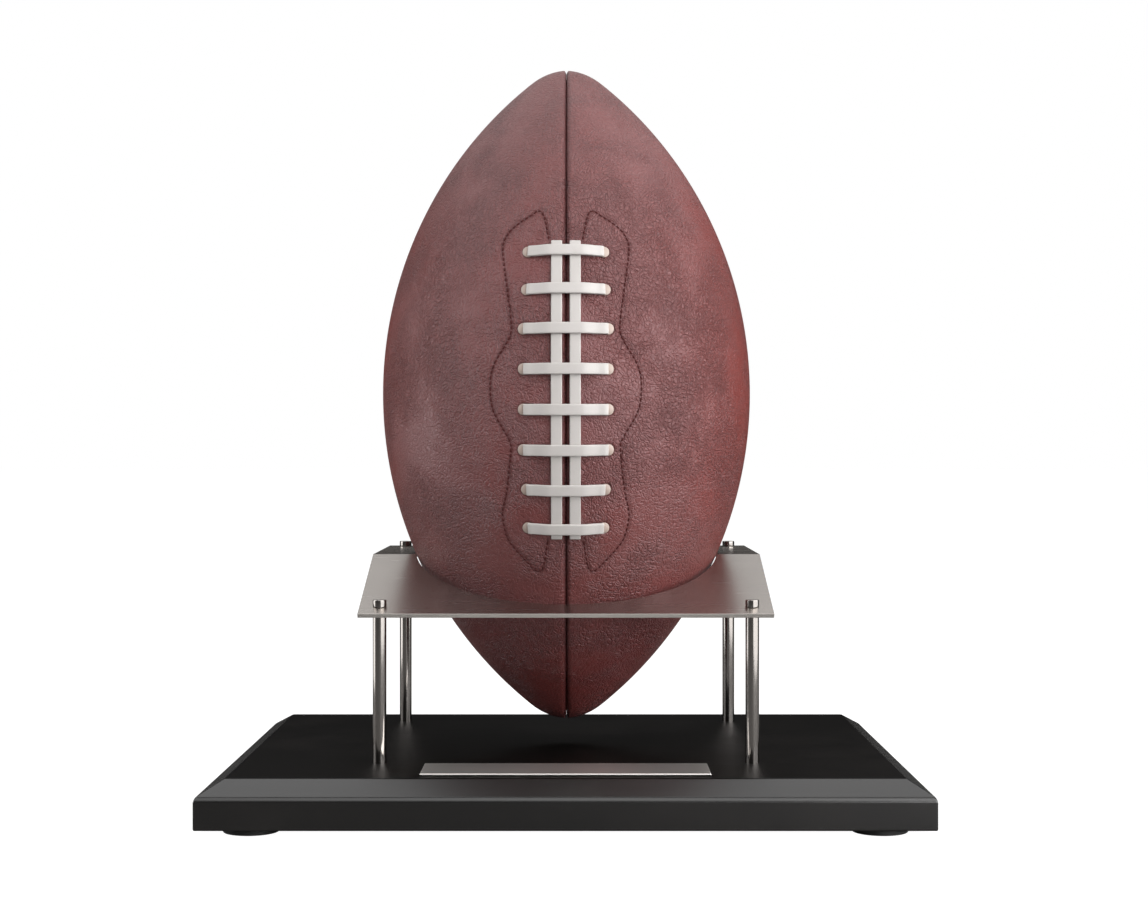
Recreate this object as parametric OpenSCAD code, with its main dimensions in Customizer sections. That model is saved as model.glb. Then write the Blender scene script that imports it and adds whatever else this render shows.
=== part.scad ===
// Football display stand.
// A bevelled board on rubber feet carries four thin rods. A folded metal cradle plate is held on
// the rods by caps, and a football stands upright in the plate's round hole.
// X runs across the stand, -Y is its front, +Z is up. The origin is the middle of the base,
// level with the bottoms of the feet.

/* [Board] */
// Width of the board, left to right
board_width = 292; // [260:1:340]
// Depth of the board, front to back
board_depth = 220; // [200:1:260]
// Height of the board's straight sides
board_side_height = 12.6; // [11:0.1:18]
// Height of the sloping bevel above the sides
bevel_height = 6.4; // [3:0.1:8]
// Width of the bevel in plan
bevel_width = 11; // [6:0.5:16]

/* [Feet] */
// Diameter of a rubber foot
foot_diameter = 22.5; // [16:0.5:28]
// Height of a foot with its adhesive disc
foot_height = 3; // [2:0.1:6]
// Distance of a foot's centre from the middle, across the stand
foot_offset_x = 125.5; // [110:0.5:126]
// Distance of a foot's centre from the middle, front to back
foot_offset_y = 93; // [80:0.5:94]

/* [Rods] */
// Diameter of a rod and of its cap
rod_diameter = 5.7; // [5:0.1:7]
// Distance of a rod's axis from the ball's axis, across the stand
rod_offset_x = 77.6; // [76:0.2:80]
// Distance of a rod's axis from the ball's axis, front to back
rod_offset_y = 66.3; // [64:0.1:68]
// Depth of the socket in the board that holds a rod's foot
socket_depth = 8; // [5:0.5:9]
// Height of a cap above the plate, on the rod's axis
cap_height = 2.5; // [2:0.1:5]

/* [Cradle plate] */
// Width of the plate, left to right
plate_width = 172; // [168:1:180]
// Depth of the plate in plan, front to back
plate_depth = 149.8; // [146:0.2:156]
// Thickness of the sheet
plate_thickness = 1.8; // [1:0.1:2.4]
// Height of the level rear part above the board
plate_height = 83.9; // [83:0.1:86]
// Distance of the fold in front of the ball's axis
fold_offset = 8; // [4:0.5:12]
// Angle at which the front part slopes down
fold_angle = 17.7; // [15:0.1:20]
// Radius of the hole that holds the ball
hole_radius = 67.6; // [67.5:0.1:69]

/* [Nameplate] */
// Width of the nameplate
nameplate_width = 116.6; // [80:0.2:140]
// Depth of the nameplate
nameplate_depth = 27.4; // [18:0.2:28]
// Thickness of the nameplate
nameplate_thickness = 0.8; // [0.5:0.1:1.5]
// Distance of its front edge behind the board's front
nameplate_inset = 16.7; // [14:0.1:18]

/* [Football] */
// Length of the ball, tip to tip
ball_length = 290; // [288:1:292]
// Radius of the ball at its middle
ball_radius = 82; // [81.5:0.1:82.2]
// Radius of the arc along a panel
meridian_radius = 178.6; // [178:0.1:180]
// Height of the lower tip above the board
ball_tip_height = 10.1; // [10:0.1:12]
// Distance of the ball's axis behind the middle of the board
ball_offset_y = 8.2; // [6:0.1:9]
// Thickness of the leather
leather_thickness = 2.4; // [1.8:0.1:3]
// Number of cross laces
lace_count = 8; // [6:1:8]
// Height of the laced length, first cross lace to last
laced_length = 114.4; // [100:0.2:120]
// Length of a cross lace over the surface
cross_lace_length = 35.5; // [30:0.5:38]
// Width of the lace
lace_width = 4.6; // [3.5:0.1:5.5]
// Thickness of the lace
lace_thickness = 1.5; // [1:0.1:2]

/* [Hidden] */
$fn = 96;
SIDES = ["left", "right"];
CORNERS = ["front_left", "front_right", "rear_left", "rear_right"];
PANELS = ["front_right", "rear_right", "rear_left", "front_left"];
SEAMS = ["front", "right", "rear", "left"];

function corner_x(i) = (i % 2 == 0) ? -1 : 1;
function corner_y(i) = (i < 2) ? -1 : 1;

overshoot = 1;
clearance = 0.05;

board_bottom = foot_height;
board_top = board_bottom + board_side_height + bevel_height;

// Fastening of a rod: an M3 screw from below, under a washer, in a counterbore of the board.
screw_radius = 1.45;
screw_hole_radius = 1.7;
tapped_hole_radius = 1.5;
tapped_hole_depth = 12;
counterbore_radius = 4.6;
counterbore_depth = 6;
screw_head_radius = 2.8;
screw_head_height = 2;
screw_driver_radius = 1.3;
screw_driver_depth = 1.2;
screw_end_gap = 2;
washer_radius = 4.2;
washer_thickness = 0.8;
rod_bottom = board_top - socket_depth;

// Fastening of the plate: a plain pin under each cap, pressed into the top of its rod.
pin_radius = 1.5;
pin_length = 8;
plate_bore_radius = 1.8;
cap_chamfer = 0.4;

plate_top = board_top + plate_height;
plate_bottom = plate_top - plate_thickness;
fold_y = ball_offset_y - fold_offset;
plate_rear_y = ball_offset_y + plate_depth / 2;
// Length of the sloping part, measured in the flat sheet from the fold.
slope_plan = plate_depth / 2 - fold_offset;
slope_length = (slope_plan - plate_thickness * sin(fold_angle)) / cos(fold_angle);
// Steps round the hole's edge, and round the outside of the bend.
hole_steps = 240;
bend_steps = 4;

adhesive_thickness = 0.2;
adhesive_margin = 1;
foot_recess_radius = 6;
foot_recess_depth = 1;
foot_taper = 1;

lining_thickness = 1;
lining_tip_gap = 4;
bladder_thickness = 1;
bladder_tip_gap = 8;
seam_rib_thickness = 1.8;
seam_rib_angle = 4.4;
seam_rib_reach = 120;
patch_thickness = 1.1;
patch_gap_angle = 0.3;
patch_angle = 24;
patch_reach = 78;
lace_hole_radius = 2.3;
lace_leg_radius = 2;
lace_leg_length = 4.4;
lace_run_offset = 3.9;
lace_run_overhang_angle = 1.4;
valve_height = 0;
valve_hole_radius = 3;
valve_stem_radius = 2.8;
valve_stem_inset = 0.8;
valve_flange_radius = 9;
valve_flange_thickness = 1.2;
valve_flange_gap = 0.6;
needle_hole_radius = 0.6;
needle_hole_depth = 6;
// Length of a cutter that goes through the ball's wall.
wall_cut = 20;

ball_centre = board_top + ball_tip_height + ball_length / 2;
// The meridian's arc is centred behind the ball's axis, which gives the ball its points.
arc_setback = meridian_radius - ball_radius;
// Half the angle that a panel's seam is drawn back by, so that the seams show as fine grooves.
seam_half_angle = 0.25;
pole_radius = 1.2;
tip_rounding_length = 9;
tip_rounding_power = 5;
profile_steps = 36;

// Radius of the ball's skin at a height z from its middle, at a depth below the outer surface.
function tip_fade(z, depth) =
    let (past = (abs(z) - (ball_length / 2 - tip_rounding_length - depth)) / tip_rounding_length)
    past <= 0 ? 1 : sqrt(max(0, 1 - pow(past, tip_rounding_power)));
function skin_radius(z, depth) =
    max(pole_radius,
        (sqrt(pow(meridian_radius - depth, 2) - z * z) - arc_setback) * tip_fade(z, depth));

// Heights along the ball, closer together towards the tips.
function skin_height(i, depth, reach) = sin(90 * i / profile_steps) * (reach - depth);

function skin_curve(depth, reach) =
    [for (i = [-profile_steps : profile_steps])
        let (z = skin_height(i, depth, reach)) [skin_radius(z, depth), z]];

function reversed(points) = [for (i = [len(points) - 1 : -1 : 0]) points[i]];

// A band of the ball's wall between two depths, over part of a turn. The front of the ball is at
// 270 degrees.
module skin_band(outer_depth, inner_depth, from_angle, to_angle, reach = ball_length / 2) {
    translate([0, ball_offset_y, ball_centre])
        rotate([0, 0, from_angle])
            rotate_extrude(angle = to_angle - from_angle)
                polygon(concat(skin_curve(outer_depth, reach),
                               reversed(skin_curve(inner_depth, reach))));
}

// Puts its children on the ball's surface, at an angle round the ball from its front and an angle
// up along the meridian. There -Y points out of the ball and Z runs up along it.
module on_ball(round_angle, up_angle) {
    translate([0, ball_offset_y, ball_centre])
        rotate([0, 0, round_angle])
            translate([0, arc_setback, 0])
                rotate([-up_angle, 0, 0])
                    translate([0, -meridian_radius, 0])
                        children();
}

function cross_lace_up_angle(i) =
    let (top = asin(laced_length / 2 / meridian_radius)) top - i * 2 * top / (lace_count - 1);

// Radius of the ball's section square to the meridian, at an angle up along it.
function section_radius(up_angle) =
    (meridian_radius * cos(up_angle) - arc_setback) / cos(up_angle);

// Angle of an arc, from its length and its radius.
function arc_angle(length, radius) = length / radius * 180 / PI;

// Radius at which the cross laces clear the outer corners of the lace runs.
function cross_lace_inner(up_angle) =
    norm([section_radius(up_angle) + clearance + lace_thickness, lace_run_offset + lace_width / 2])
        + clearance;

module at_lace_end(i, side) {
    up_angle = cross_lace_up_angle(i);
    radius = section_radius(up_angle);
    on_ball(0, up_angle)
        translate([0, radius, 0])
            rotate([0, 0, side * arc_angle((cross_lace_length - lace_width) / 2, radius)])
                translate([0, -radius, 0])
                    rotate([90, 0, 0])
                        children();
}

module lace_holes(side) {
    for (i = [0 : lace_count - 1])
        at_lace_end(i, side)
            cylinder(r = lace_hole_radius, h = wall_cut, center = true);
}

module at_corner(i, offset_x, offset_y, centre_y = 0) {
    translate([corner_x(i) * offset_x, centre_y + corner_y(i) * offset_y, 0])
        children();
}

module at_rod(i) {
    at_corner(i, rod_offset_x, rod_offset_y, ball_offset_y)
        children();
}

// ---- Base ----

module board_section(width) {
    half = width / 2;
    polygon([[-half, board_bottom], [half, board_bottom],
             [half, board_bottom + board_side_height], [half - bevel_width, board_top],
             [-half + bevel_width, board_top], [-half, board_bottom + board_side_height]]);
}

module board_blank() {
    intersection() {
        translate([0, board_depth / 2 + overshoot, 0])
            rotate([90, 0, 0])
                linear_extrude(board_depth + 2 * overshoot)
                    board_section(board_width);
        translate([-board_width / 2 - overshoot, 0, 0])
            rotate([90, 0, 90])
                linear_extrude(board_width + 2 * overshoot)
                    board_section(board_depth);
    }
}

module base_board() {
    color([0.07, 0.07, 0.07])
        difference() {
            board_blank();
            for (i = [0 : 3])
                at_rod(i) {
                    translate([0, 0, rod_bottom])
                        cylinder(d = rod_diameter + 2 * clearance, h = socket_depth + overshoot);
                    translate([0, 0, board_bottom - overshoot])
                        cylinder(r = screw_hole_radius, h = board_top - board_bottom);
                    translate([0, 0, board_bottom - overshoot])
                        cylinder(r = counterbore_radius, h = counterbore_depth + overshoot);
                }
        }
}

module rubber_foot(i) {
    color([0.1, 0.1, 0.1])
        at_corner(i, foot_offset_x, foot_offset_y)
            difference() {
                cylinder(d1 = foot_diameter - foot_taper, d2 = foot_diameter,
                         h = foot_height - adhesive_thickness);
                translate([0, 0, -overshoot])
                    cylinder(r = foot_recess_radius, h = foot_recess_depth + overshoot);
            }
}

module foot_adhesive(i) {
    color([0.8, 0.8, 0.75])
        at_corner(i, foot_offset_x, foot_offset_y)
            translate([0, 0, foot_height - adhesive_thickness])
                cylinder(d = foot_diameter - 2 * adhesive_margin, h = adhesive_thickness);
}

module rod_screws() {
    head_bottom = board_bottom + counterbore_depth - washer_thickness - screw_head_height;
    screw_top = rod_bottom + tapped_hole_depth - screw_end_gap;
    color([0.7, 0.7, 0.72])
        for (i = [0 : 3])
            at_rod(i)
                difference() {
                    union() {
                        translate([0, 0, head_bottom])
                            cylinder(r = screw_head_radius, h = screw_head_height);
                        translate([0, 0, head_bottom])
                            cylinder(r = screw_radius, h = screw_top - head_bottom);
                    }
                    translate([0, 0, head_bottom - overshoot])
                        cylinder(r = screw_driver_radius, h = overshoot + screw_driver_depth, $fn = 6);
                }
}

module rod_washers() {
    color([0.75, 0.75, 0.77])
        for (i = [0 : 3])
            at_rod(i)
                translate([0, 0, board_bottom + counterbore_depth - washer_thickness])
                    difference() {
                        cylinder(r = washer_radius, h = washer_thickness);
                        translate([0, 0, -overshoot])
                            cylinder(r = screw_hole_radius, h = washer_thickness + 2 * overshoot);
                    }
}

module nameplate_outline(margin) {
    translate([-nameplate_width / 2 + margin, -board_depth / 2 + nameplate_inset + margin])
        square([nameplate_width - 2 * margin, nameplate_depth - 2 * margin]);
}

module nameplate_adhesive() {
    color([0.85, 0.85, 0.8])
        translate([0, 0, board_top])
            linear_extrude(adhesive_thickness)
                nameplate_outline(adhesive_margin);
}

module nameplate() {
    color([0.6, 0.6, 0.62])
        translate([0, 0, board_top + adhesive_thickness])
            linear_extrude(nameplate_thickness)
                nameplate_outline(0);
}

// ---- Cradle ----

// The bent sheet seen from its side: the level rear part, the sloping front part, and the arc of
// the bend between them. The bend's inner corner is at the origin.
module plate_section() {
    rear_length = plate_rear_y - fold_y;
    along = [-cos(fold_angle), -sin(fold_angle)];
    bend = [for (i = [0 : bend_steps])
        let (turn = 90 + fold_angle * i / bend_steps) plate_thickness * [cos(turn), sin(turn)]];
    polygon(concat([[0, 0], [rear_length, 0], [rear_length, plate_thickness]], bend,
                   [bend[bend_steps] + slope_length * along, slope_length * along]));
}

module plate_blank() {
    translate([-plate_width / 2, fold_y, plate_bottom])
        rotate([90, 0, 90])
            linear_extrude(plate_width)
                plate_section();
}

// The hole is round in the flat sheet, so what lies in front of the fold is shortened in plan.
module ball_hole_outline() {
    polygon([for (i = [0 : hole_steps - 1])
        let (turn = 360 * i / hole_steps,
             x = hole_radius * cos(turn),
             y = hole_radius * sin(turn))
        [x, y > -fold_offset ? y : (y + fold_offset) * cos(fold_angle) - fold_offset]]);
}

module ball_hole() {
    translate([0, ball_offset_y, board_top])
        linear_extrude(plate_height + overshoot)
            ball_hole_outline();
}

module cradle_plate() {
    color([0.66, 0.67, 0.68])
        difference() {
            plate_blank();
            ball_hole();
            for (i = [0 : 3])
                at_rod(i)
                    cylinder(r = plate_bore_radius, h = plate_top + overshoot);
        }
}

// Everything above or below a plane parallel to the sheet at the plate's underside, raised by a lift.
module beside_sheet(front, lift, above) {
    size = 4 * plate_width;
    translate([0, fold_y, plate_bottom])
        rotate([front ? fold_angle : 0, 0, 0])
            translate([-size / 2, -size / 2, above ? lift : lift - size])
                cube(size);
}

module rod(i) {
    front = corner_y(i) < 0;
    rod_height = plate_top - rod_bottom;
    color([0.75, 0.76, 0.78])
        difference() {
            at_rod(i)
                translate([0, 0, rod_bottom])
                    cylinder(d = rod_diameter, h = rod_height);
            beside_sheet(front, -clearance, true);
            at_rod(i) {
                translate([0, 0, rod_bottom - overshoot])
                    cylinder(r = tapped_hole_radius, h = tapped_hole_depth + overshoot);
                translate([0, 0, cap_top(i) - cap_height - plate_thickness - pin_length - overshoot])
                    cylinder(r = pin_radius, h = 2 * pin_length);
            }
        }
}

// Height of the sheet's upper surface on a rod's axis.
function sheet_top(i) =
    corner_y(i) > 0
        ? plate_top
        : plate_bottom + plate_thickness / cos(fold_angle)
            - (fold_y - (ball_offset_y - rod_offset_y)) * tan(fold_angle);
function cap_top(i) = sheet_top(i) + cap_height;

module rod_cap(i) {
    front = corner_y(i) < 0;
    radius = rod_diameter / 2;
    color([0.78, 0.79, 0.8]) {
        difference() {
            at_rod(i)
                translate([0, 0, sheet_top(i) - cap_height])
                    rotate_extrude()
                        polygon([[0, 0], [radius, 0], [radius, 2 * cap_height - cap_chamfer],
                                 [radius - cap_chamfer, 2 * cap_height], [0, 2 * cap_height]]);
            beside_sheet(front, plate_thickness + clearance, false);
        }
        at_rod(i)
            translate([0, 0, sheet_top(i) - plate_thickness - pin_length])
                cylinder(r = pin_radius, h = plate_thickness + pin_length + cap_height / 2);
    }
}

// ---- Football ----

module leather_panel(i) {
    from_angle = 270 + 90 * i;
    front_side = (i == 0) ? 1 : -1;
    color([0.42, 0.17, 0.12])
        difference() {
            skin_band(0, leather_thickness,
                      from_angle + seam_half_angle, from_angle + 90 - seam_half_angle);
            if (i == 0 || i == 3)
                lace_holes(front_side);
            if (i == 1)
                at_valve()
                    cylinder(r = valve_hole_radius, h = wall_cut, center = true);
        }
}

module panel_lining(i) {
    from_angle = 270 + 90 * i;
    front_side = (i == 0) ? 1 : -1;
    outer_depth = leather_thickness + clearance;
    color([0.85, 0.83, 0.76])
        difference() {
            skin_band(outer_depth, outer_depth + lining_thickness,
                      from_angle + seam_half_angle, from_angle + 90 - seam_half_angle,
                      ball_length / 2 - lining_tip_gap);
            if (i == 0 || i == 3)
                lace_holes(front_side);
            if (i == 1)
                at_valve()
                    cylinder(r = valve_hole_radius, h = wall_cut, center = true);
        }
}

// The seam allowances, turned inwards and stitched along each seam.
module seam_rib(i) {
    outer_depth = leather_thickness + lining_thickness + 2 * clearance;
    angle = 270 + 90 * i;
    color([0.5, 0.3, 0.22])
        skin_band(outer_depth, outer_depth + seam_rib_thickness,
                  angle - seam_rib_angle / 2, angle + seam_rib_angle / 2, seam_rib_reach);
}

bladder_depth = leather_thickness + lining_thickness + seam_rib_thickness + 4 * clearance;

module bladder() {
    reach = ball_length / 2 - bladder_tip_gap;
    color([0.12, 0.12, 0.13])
        difference() {
            translate([0, ball_offset_y, ball_centre])
                rotate_extrude()
                    polygon(concat(skin_curve(bladder_depth, reach),
                                   reversed(skin_curve(bladder_depth + bladder_thickness, reach))));
            at_valve()
                cylinder(r = valve_hole_radius, h = 2 * wall_cut, center = true);
        }
}

// The valve is in the middle of the right rear panel. Its children's +Z points into the ball.
module at_valve() {
    translate([0, ball_offset_y, ball_centre + valve_height])
        rotate([0, 0, -45])
            translate([0, ball_radius, 0])
                rotate([90, 0, 0])
                    children();
}

module valve() {
    flange_depth = bladder_depth + bladder_thickness + valve_flange_gap;
    stem_length = flange_depth + 2 * valve_flange_thickness - valve_stem_inset;
    color([0.1, 0.1, 0.1])
        at_valve()
            difference() {
                union() {
                    translate([0, 0, valve_stem_inset])
                        cylinder(r = valve_stem_radius, h = stem_length);
                    translate([0, 0, flange_depth])
                        cylinder(r = valve_flange_radius, h = valve_flange_thickness);
                }
                cylinder(r = needle_hole_radius, h = needle_hole_depth);
            }
}

module lace_patch(side_index) {
    side = side_index == 0 ? -1 : 1;
    outer_depth = leather_thickness + lining_thickness + 2 * clearance;
    near = 270 + side * (seam_rib_angle / 2 + patch_gap_angle);
    far = 270 + side * patch_angle;
    color([0.3, 0.2, 0.16])
        difference() {
            skin_band(outer_depth, outer_depth + patch_thickness,
                      min(near, far), max(near, far), patch_reach);
            lace_holes(side);
        }
}

// One length of lace lies along each side of the seam, under the cross laces.
module lace_run(side_index) {
    side = side_index == 0 ? -1 : 1;
    half_angle = asin(laced_length / 2 / meridian_radius) + lace_run_overhang_angle;
    inner = meridian_radius + clearance;
    outer = inner + lace_thickness;
    color([0.93, 0.93, 0.92])
        translate([side * lace_run_offset + lace_width / 2, ball_offset_y + arc_setback, ball_centre])
            rotate([90, 0, -90])
                rotate([0, 0, -half_angle])
                    lace_run_arc(inner, outer, 2 * half_angle);
}

module lace_run_arc(inner, outer, angle) {
    linear_extrude(lace_width)
        difference() {
            intersection() {
                circle(r = outer, $fn = 360);
                polygon([[0, 0], [2 * outer, 0], [2 * outer * cos(angle), 2 * outer * sin(angle)]]);
            }
            circle(r = inner, $fn = 360);
        }
}

module cross_lace(i) {
    up_angle = cross_lace_up_angle(i);
    radius = section_radius(up_angle);
    half_angle = arc_angle(cross_lace_length / 2, radius);
    inner = cross_lace_inner(up_angle);
    leg_height = inner - radius + lace_thickness / 2;
    color([0.95, 0.95, 0.94]) {
        on_ball(0, up_angle)
            translate([0, radius, 0])
                rotate([0, 0, 270 - half_angle])
                    rotate_extrude(angle = 2 * half_angle)
                        translate([inner, -lace_width / 2])
                            square([lace_thickness, lace_width]);
        for (side = [-1, 1])
            at_lace_end(i, side)
                translate([0, 0, -lace_leg_length])
                    cylinder(r = lace_leg_radius, h = lace_leg_length + leg_height);
    }
}

// Stitches that hold a lace patch, in an outline that is wide beside the top and bottom laces and
// wide again at the middle. Each point is [distance from the seam, distance up from the middle],
// over the surface.
STITCH_LINE = [[7, 63.5], [10, 77], [15, 75], [22, 70], [25, 66.5], [27, 61], [26, 51],
               [23, 29.5], [23, 23], [25.5, 18], [30, 11], [32, 4], [31.5, -6], [29, -12],
               [23.5, -21], [23, -26], [25, -43], [27, -52], [25.5, -61], [23, -66], [17, -73],
               [12, -78], [9.5, -76.5], [7.5, -64]];
stitch_length = 1.5;
stitch_gap = 0.75;
stitch_radius = 0.35;

module stitch_at(across, up, turn) {
    up_angle = arc_angle(up, meridian_radius);
    on_ball(arc_angle(across, section_radius(up_angle)), up_angle)
        rotate([0, -turn, 0])
            translate([-stitch_length / 2, -stitch_radius - clearance, 0])
                rotate([0, 90, 0])
                    cylinder(r = stitch_radius, h = stitch_length, $fn = 8);
}

module patch_stitching(side_index) {
    side = side_index == 0 ? -1 : 1;
    color([0.2, 0.1, 0.08])
        for (i = [0 : len(STITCH_LINE) - 2]) {
            start = STITCH_LINE[i];
            end = STITCH_LINE[i + 1];
            count = max(1, floor(norm(end - start) / (stitch_length + stitch_gap)));
            for (j = [0 : count - 1]) {
                point = start + (end - start) * (j + 0.5) / count;
                turn = atan2(end[1] - start[1], side * (end[0] - start[0]));
                stitch_at(side * point[0], point[1], turn);
            }
        }
}

// ---- Nodes ----

function numbered(name, count) = [for (i = [1 : count]) str(name, i)];
function named(name, places) = [for (place = places) str(name, place)];

NODES = concat(
    ["base_board", "cradle_plate", "nameplate", "nameplate_adhesive", "rod_screws", "rod_washers",
     "bladder", "valve"],
    named("foot_", CORNERS), named("foot_adhesive_", CORNERS), named("rod_", CORNERS),
    named("cap_", CORNERS), named("panel_", PANELS), named("lining_", PANELS),
    named("seam_rib_", SEAMS), named("lace_patch_", SIDES), named("patch_stitching_", SIDES),
    named("lace_run_", SIDES), numbered("cross_lace_", lace_count));
node = "all";

function chosen(name) = node == "all" || node == name;

if (chosen("base_board")) base_board();
if (chosen("cradle_plate")) cradle_plate();
if (chosen("nameplate")) nameplate();
if (chosen("nameplate_adhesive")) nameplate_adhesive();
if (chosen("rod_screws")) rod_screws();
if (chosen("rod_washers")) rod_washers();
if (chosen("bladder")) bladder();
if (chosen("valve")) valve();
for (i = [0 : 3]) {
    if (chosen(str("foot_", CORNERS[i]))) rubber_foot(i);
    if (chosen(str("foot_adhesive_", CORNERS[i]))) foot_adhesive(i);
    if (chosen(str("rod_", CORNERS[i]))) rod(i);
    if (chosen(str("cap_", CORNERS[i]))) rod_cap(i);
    if (chosen(str("panel_", PANELS[i]))) leather_panel(i);
    if (chosen(str("lining_", PANELS[i]))) panel_lining(i);
    if (chosen(str("seam_rib_", SEAMS[i]))) seam_rib(i);
}
for (i = [0 : 1]) {
    if (chosen(str("lace_patch_", SIDES[i]))) lace_patch(i);
    if (chosen(str("patch_stitching_", SIDES[i]))) patch_stitching(i);
    if (chosen(str("lace_run_", SIDES[i]))) lace_run(i);
}
for (i = [0 : lace_count - 1])
    if (chosen(str("cross_lace_", i + 1))) cross_lace(i);
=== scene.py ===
"""The looks of a football display stand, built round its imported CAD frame.

Lengths are in metres, in the frame of the CAD model: X runs across the stand, -Y is its front and
+Z is up. Positions come from the boxes of the CAD nodes.
"""

import logging
import math
from dataclasses import dataclass, field
from enum import Enum
from typing import Callable, Mapping, Optional, Sequence, Union

import bmesh
import bpy
import numpy as np
from mathutils import Matrix, Vector


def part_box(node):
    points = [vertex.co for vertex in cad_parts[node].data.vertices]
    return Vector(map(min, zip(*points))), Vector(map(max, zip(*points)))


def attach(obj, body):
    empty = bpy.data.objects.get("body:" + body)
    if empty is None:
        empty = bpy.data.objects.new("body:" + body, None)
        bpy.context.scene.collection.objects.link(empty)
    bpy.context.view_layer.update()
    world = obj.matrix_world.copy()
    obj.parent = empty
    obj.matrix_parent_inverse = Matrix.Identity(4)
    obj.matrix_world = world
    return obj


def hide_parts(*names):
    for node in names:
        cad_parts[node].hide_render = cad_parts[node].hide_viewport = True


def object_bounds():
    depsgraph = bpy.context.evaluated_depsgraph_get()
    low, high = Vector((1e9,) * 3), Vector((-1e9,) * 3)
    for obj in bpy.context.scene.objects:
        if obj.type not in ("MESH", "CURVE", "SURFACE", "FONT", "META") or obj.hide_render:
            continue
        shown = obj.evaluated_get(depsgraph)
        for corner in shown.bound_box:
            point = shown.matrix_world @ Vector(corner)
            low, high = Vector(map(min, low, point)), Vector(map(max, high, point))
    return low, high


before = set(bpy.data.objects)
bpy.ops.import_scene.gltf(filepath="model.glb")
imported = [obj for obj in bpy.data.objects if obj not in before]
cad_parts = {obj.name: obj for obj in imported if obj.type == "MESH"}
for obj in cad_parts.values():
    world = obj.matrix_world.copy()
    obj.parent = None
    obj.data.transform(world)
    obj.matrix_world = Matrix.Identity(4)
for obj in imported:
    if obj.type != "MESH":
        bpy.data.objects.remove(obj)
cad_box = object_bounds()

log = logging.getLogger("display_stand")

MM = 0.001
STAND = "stand"
FOOTBALL = "football"
CORNERS = ("front_left", "front_right", "rear_left", "rear_right")
Colour = tuple[float, float, float]


# ---------------------------------------------------------------- modelling helpers


def deselect_all() -> None:
    """Leaves no object selected."""
    bpy.ops.object.select_all(action="DESELECT")


def named(name: str) -> bpy.types.Object:
    """Names the primitive that was just added and returns it.

    Args:
        name: The piece's name.

    Returns:
        The active object.
    """
    piece = bpy.context.object
    piece.name = name
    piece.data.name = name
    return piece


def activate(piece: bpy.types.Object) -> None:
    """Makes a piece the only selected object, and the active one."""
    deselect_all()
    piece.select_set(True)
    bpy.context.view_layer.objects.active = piece


def settle(piece: bpy.types.Object) -> bpy.types.Object:
    """Moves a piece's place, turn and size into its mesh.

    Args:
        piece: The object to settle.

    Returns:
        The same object, at the origin.
    """
    activate(piece)
    bpy.ops.object.transform_apply(location=True, rotation=True, scale=True)
    return piece


def modify(piece: bpy.types.Object, kind: str, **settings: object) -> None:
    """Adds a modifier and applies it at once.

    Args:
        piece: The object to change.
        kind: The modifier's type, such as "BEVEL".
        **settings: The modifier's properties.
    """
    activate(piece)
    modifier = piece.modifiers.new(kind.lower(), kind)
    for key, value in settings.items():
        setattr(modifier, key, value)
    bpy.ops.object.modifier_apply(modifier=modifier.name)


def soften(piece: bpy.types.Object, width: float, segments: int = 3, angle: float = 25.0) -> None:
    """Rounds a piece's sharp edges and shades it smooth between them.

    Args:
        piece: The object to change.
        width: Width of the rounding.
        segments: Steps across the rounding.
        angle: Least angle, in degrees, at which an edge counts as sharp.
    """
    modify(piece, "BEVEL", width=width, segments=segments, limit_method="ANGLE",
           angle_limit=math.radians(angle), use_clamp_overlap=True)
    shade(piece)


def shade(piece: bpy.types.Object, angle: float = 40.0) -> None:
    """Shades a piece smooth, while its flat faces stay flat.

    Args:
        piece: The object to shade.
        angle: Least angle, in degrees, at which an edge stays sharp.
    """
    activate(piece)
    bpy.ops.object.shade_smooth_by_angle(angle=math.radians(angle))
    modify(piece, "WEIGHTED_NORMAL", keep_sharp=True, weight=80)


def cut(piece: bpy.types.Object, cutter: bpy.types.Object) -> None:
    """Takes a cutter's shape out of a piece, and removes the cutter.

    Args:
        piece: The object to cut.
        cutter: The object to take away.
    """
    modify(piece, "BOOLEAN", operation="DIFFERENCE", object=cutter, solver="EXACT")
    bpy.data.objects.remove(cutter)


def join(pieces: Sequence[bpy.types.Object], name: str) -> bpy.types.Object:
    """Joins several objects into the first.

    Args:
        pieces: The objects to join.
        name: The name of the result.

    Returns:
        The joined object.
    """
    deselect_all()
    for piece in pieces:
        piece.select_set(True)
    bpy.context.view_layer.objects.active = pieces[0]
    if len(pieces) > 1:
        bpy.ops.object.join()
    return named(name)


def add_box(name: str, low: Vector, high: Vector) -> bpy.types.Object:
    """Adds a box between two corners.

    Args:
        name: The piece's name.
        low: Its lowest corner.
        high: Its highest corner.

    Returns:
        The settled box.
    """
    deselect_all()
    bpy.ops.mesh.primitive_cube_add(size=1, location=(low + high) / 2, scale=high - low)
    return settle(named(name))


def add_rod(name: str, foot: Vector, radius: float, height: float,
            sides: int = 64) -> bpy.types.Object:
    """Adds an upright cylinder.

    Args:
        name: The piece's name.
        foot: The middle of its lower end.
        radius: Its radius.
        height: Its height.
        sides: How many sides it has.

    Returns:
        The settled cylinder.
    """
    deselect_all()
    middle = foot + Vector((0, 0, height / 2))
    bpy.ops.mesh.primitive_cylinder_add(vertices=sides, radius=radius, depth=height,
                                        location=middle)
    return settle(named(name))


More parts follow.
